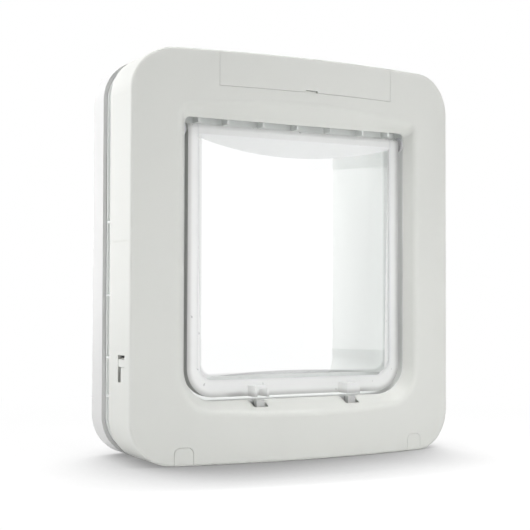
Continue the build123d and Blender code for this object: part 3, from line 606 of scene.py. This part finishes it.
# The moulding's own mesh, with each face sorted to its finish
flap = bpy.data.objects.new("clear_flap", nodes["flap"].data.copy())
bpy.context.scene.collection.objects.link(flap)
flap_mesh = flap.data
flap_mesh.materials.clear()
flap_mesh.materials.append(clear_plastic("pane_clear", True))
flap_mesh.materials.append(rim_milky)
flap_mesh.materials.append(milky_plastic("head_milky", head_tone, head_clearness, head_gloss))
# The outer edge faces take the painted gap shade
flap_mesh.materials.append(moulded_plastic("gap_shade_grey", gap_shade_tone, gloss=gap_shade_gloss))
flap_mesh.materials.append(clear_plastic("back_clear", False))
pane_finish, rim_finish, head_finish, gap_shade_finish, back_finish = range(5)
for face in flap_mesh.polygons:
    points = [flap_mesh.vertices[index].co for index in face.vertices]
    beyond_flap = [point_distance(point, flap_half, flap_foot, flap_corner) for point in points]
    beyond_pane = [point_distance(point, pane_half, pane_foot, pane_corner) for point in points]
    from_axis = [math.hypot(point.z - hinge_height, point.y - hinge_depth) for point in points]
    slanted = abs(face.normal.y) > facing_limit and abs(face.normal.z) > facing_limit
    face.material_index = pane_finish
    if max(from_axis) < barrel_radius + sort_margin:
        face.material_index = rim_finish
    elif min(beyond_flap) > -sort_margin:
        # Faces on the outer edge carry the painted gap shade
        face.material_index = gap_shade_finish
    elif slanted:
        face.material_index = head_finish
    elif face.normal.y > facing_limit:
        face.material_index = back_finish
    elif min(beyond_pane) > -sort_margin:
        face.material_index = rim_finish
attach(flap, "flap")
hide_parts("flap")
finish_nodes(magnet_plate, "flap_magnets")

# Battery cover: the piece of the housing's skin between the seams at the top.
# Moulded in the same white; two tongues hold its lower edge, and it lifts off to change the cells.
finish_nodes(housing_white, "battery_cover")

# Rear frame: the outside frame, a shallow white moulding with a collar round the tunnel.
# Drawn up to the chassis by four zinc plated screws, two below and two under the battery cover.
rear_tone = (0.78, 0.78, 0.775, 1)
zinc_tone = (0.60, 0.60, 0.61, 1)
zinc_gloss = 0.3
zinc_lines = (900, 900, 900)
finish_nodes(moulded_plastic("rear_white", rear_tone), "rear_frame")
finish_nodes(drawn_metal("screw_zinc", zinc_tone, zinc_gloss, zinc_lines), "frame_screws")

# Floor: a pale studio sweep that keeps a soft shadow close to the frame and turns white further off.
# The shadow comes from what stands near each point, looked for in a direction that leans out to the
# sides and backwards, more so at the left, so that it falls mostly in front.
floor_half = 6.0
floor_drop = 0.0002
floor_tone = (0.85, 0.85, 0.85, 1)
cast_tone = (0.1, 0.1, 0.1, 1)
glow_strength = 0.92
contact_reach = 0.10
contact_power = 2.8
contact_least = 0.25
lean_out = 9
lean_right = 0.3
lean_turn = 5
lean_back = 0.7
shadow_reach = 0.24
white_reach = 0.50


def seen_ray(tree):
    """Light Path mask of what the camera sees, straight, mirrored or through the clear flap."""
    path = tree.nodes.new("ShaderNodeLightPath").outputs
    mirrored = calc(tree, "MAXIMUM", path["Is Camera Ray"], path["Is Glossy Ray"])
    return calc(tree, "MAXIMUM", mirrored, path["Is Transmission Ray"])


floor_corners = [(x * floor_half, y * floor_half, 0) for x, y in ((-1, -1), (1, -1), (1, 1), (-1, 1))]
floor_mesh = bpy.data.meshes.new("studio_floor")
floor_mesh.from_pydata(floor_corners, [], [(0, 1, 2, 3)])
floor = bpy.data.objects.new("studio_floor", floor_mesh)
bpy.context.scene.collection.objects.link(floor)
floor.location.z = -floor_drop
floor_paint = bpy.data.materials.new("studio_floor")
floor_paint.use_nodes = True
tree = floor_paint.node_tree
tree.nodes.remove(tree.nodes["Principled BSDF"])
place = object_place(tree)
across = axes_of(tree, place)["X"]
matte = tree.nodes.new("ShaderNodeBsdfDiffuse")
matte.inputs["Color"].default_value = floor_tone
cast = tree.nodes.new("ShaderNodeBsdfDiffuse")
cast.inputs["Color"].default_value = cast_tone
leaning = tree.nodes.new("ShaderNodeCombineXYZ")
tree.links.new(calc(tree, "MULTIPLY_ADD", across, lean_out, lean_right), leaning.inputs["X"])
tree.links.new(calc(tree, "MULTIPLY_ADD", across, -lean_turn, lean_back), leaning.inputs["Y"])
leaning.inputs["Z"].default_value = 1
contact = tree.nodes.new("ShaderNodeAmbientOcclusion")
contact.inputs["Distance"].default_value = contact_reach
tree.links.new(leaning.outputs[0], contact.inputs["Normal"])
openness = calc(tree, "POWER", contact.outputs["AO"], contact_power)
glow = tree.nodes.new("ShaderNodeEmission")
glow.inputs["Strength"].default_value = glow_strength
tree.links.new(spread(tree, openness, contact_least, 1.0), glow.inputs["Color"])
lifted = tree.nodes.new("ShaderNodeAddShader")
tree.links.new(cast.outputs[0], lifted.inputs[0])
tree.links.new(glow.outputs[0], lifted.inputs[1])
white = tree.nodes.new("ShaderNodeEmission")
white.inputs["Strength"].default_value = 1
away = tree.nodes.new("ShaderNodeVectorMath")
away.operation = "LENGTH"
tree.links.new(place, away.inputs[0])
far_mask = spread(tree, away.outputs["Value"], 0, 1, shadow_reach, white_reach, "SMOOTHSTEP")
shown = shader_mix(tree, far_mask, lifted.outputs[0], white.outputs[0])
surface = shader_mix(tree, seen_ray(tree), matte.outputs[0], shown)
tree.links.new(surface, tree.nodes["Material Output"].inputs["Surface"])
floor_mesh.materials.append(floor_paint)
floor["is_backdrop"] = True

# World and lights: a backdrop that is white where it is seen and gives no light of its own.
# Soft boxes stand round the frame, and two small ones light the tunnel from behind.
world = bpy.data.worlds.new("studio_surround")
bpy.context.scene.world = world
world.use_nodes = True
tree = world.node_tree
surround = tree.nodes["Background"]
surround.inputs["Strength"].default_value = 0.0
backdrop = tree.nodes.new("ShaderNodeBackground")
backdrop.inputs["Color"].default_value = (1, 1, 1, 1)
backdrop.inputs["Strength"].default_value = 1
shown = shader_mix(tree, seen_ray(tree), surround.outputs[0], backdrop.outputs[0])
tree.links.new(shown, tree.nodes["World Output"].inputs["Surface"])


def softbox(name, place, aim, width, height, power, beam=180):
    """Rectangular soft light at a place, turned to face a point, with a beam of so many degrees."""
    lamp = bpy.data.lights.new(name, "AREA")
    lamp.shape = "RECTANGLE"
    lamp.size = width
    lamp.size_y = height
    lamp.spread = math.radians(beam)
    lamp.energy = power
    holder = bpy.data.objects.new(name, lamp)
    bpy.context.scene.collection.objects.link(holder)
    holder.location = place
    holder.rotation_mode = "QUATERNION"
    holder.rotation_quaternion = (Vector(aim) - Vector(place)).to_track_quat("-Z", "Y")
    holder.visible_camera = False
    holder.visible_transmission = False


middle = (0, 0, 0.143)
floor_in_front = (0.2, -0.5, 0)
tunnel_middle = (0.0, 0.0, 0.15)
tunnel_ceiling = (0.05, 0.03, 0.246)
softbox("left_softbox", (-1.6, 0.0, 0.7), middle, width=1.0, height=1.0, power=12.6)
softbox("right_front_softbox", (1.5, -1.6, 0.6), middle, width=1.4, height=1.4, power=6.6)
softbox("low_front_softbox", (0.1, -1.7, 0.15), middle, width=1.4, height=0.5, power=6.0)
softbox("overhead_softbox", (0.0, 0.3, 1.7), middle, width=1.6, height=1.2, power=11.2)
softbox("floor_softbox", (0.2, -0.5, 1.3), floor_in_front, width=0.8, height=0.6, power=3.0, beam=60)
softbox("rear_softbox", (-0.3, 1.7, 0.5), middle, width=1.4, height=1.0, power=11.8)
softbox("tunnel_softbox", (0.0, 0.65, 0.06), tunnel_middle, width=0.22, height=0.1, power=0.12)
softbox("ceiling_softbox", (0.05, 0.32, 0.02), tunnel_ceiling, width=0.12, height=0.06, power=0.04, beam=50)

# Camera: the photograph's place and angle, with a long lens a little below the middle of the flap.
# Its turn is built from the view's own right, up and ahead directions.
yaw = math.radians(27.86)
pitch = math.radians(1.56)
roll = math.radians(0.17)
focal_length = 78.73
sensor_width = 36
eye = Vector((-0.4149, -0.7751, 0.1154))
ahead = Vector((math.sin(yaw) * math.cos(pitch), math.cos(yaw) * math.cos(pitch), math.sin(pitch)))
right = Vector((math.cos(yaw), -math.sin(yaw), 0))
up_level = right.cross(ahead)
right_rolled = right * math.cos(roll) + up_level * math.sin(roll)
up_rolled = up_level * math.cos(roll) - right * math.sin(roll)
lens = bpy.data.cameras.new("view_camera")
lens.lens = focal_length
lens.sensor_width = sensor_width
camera = bpy.data.objects.new("view_camera", lens)
bpy.context.scene.collection.objects.link(camera)
turn = Matrix((right_rolled, up_rolled, -ahead)).transposed()
camera.matrix_world = Matrix.Translation(eye) @ turn.to_4x4()
bpy.context.scene.camera = camera
bpy.context.scene.view_settings.view_transform = "Standard"

# Bounds of the dressed model, found the same way as the CAD model's
low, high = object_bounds()
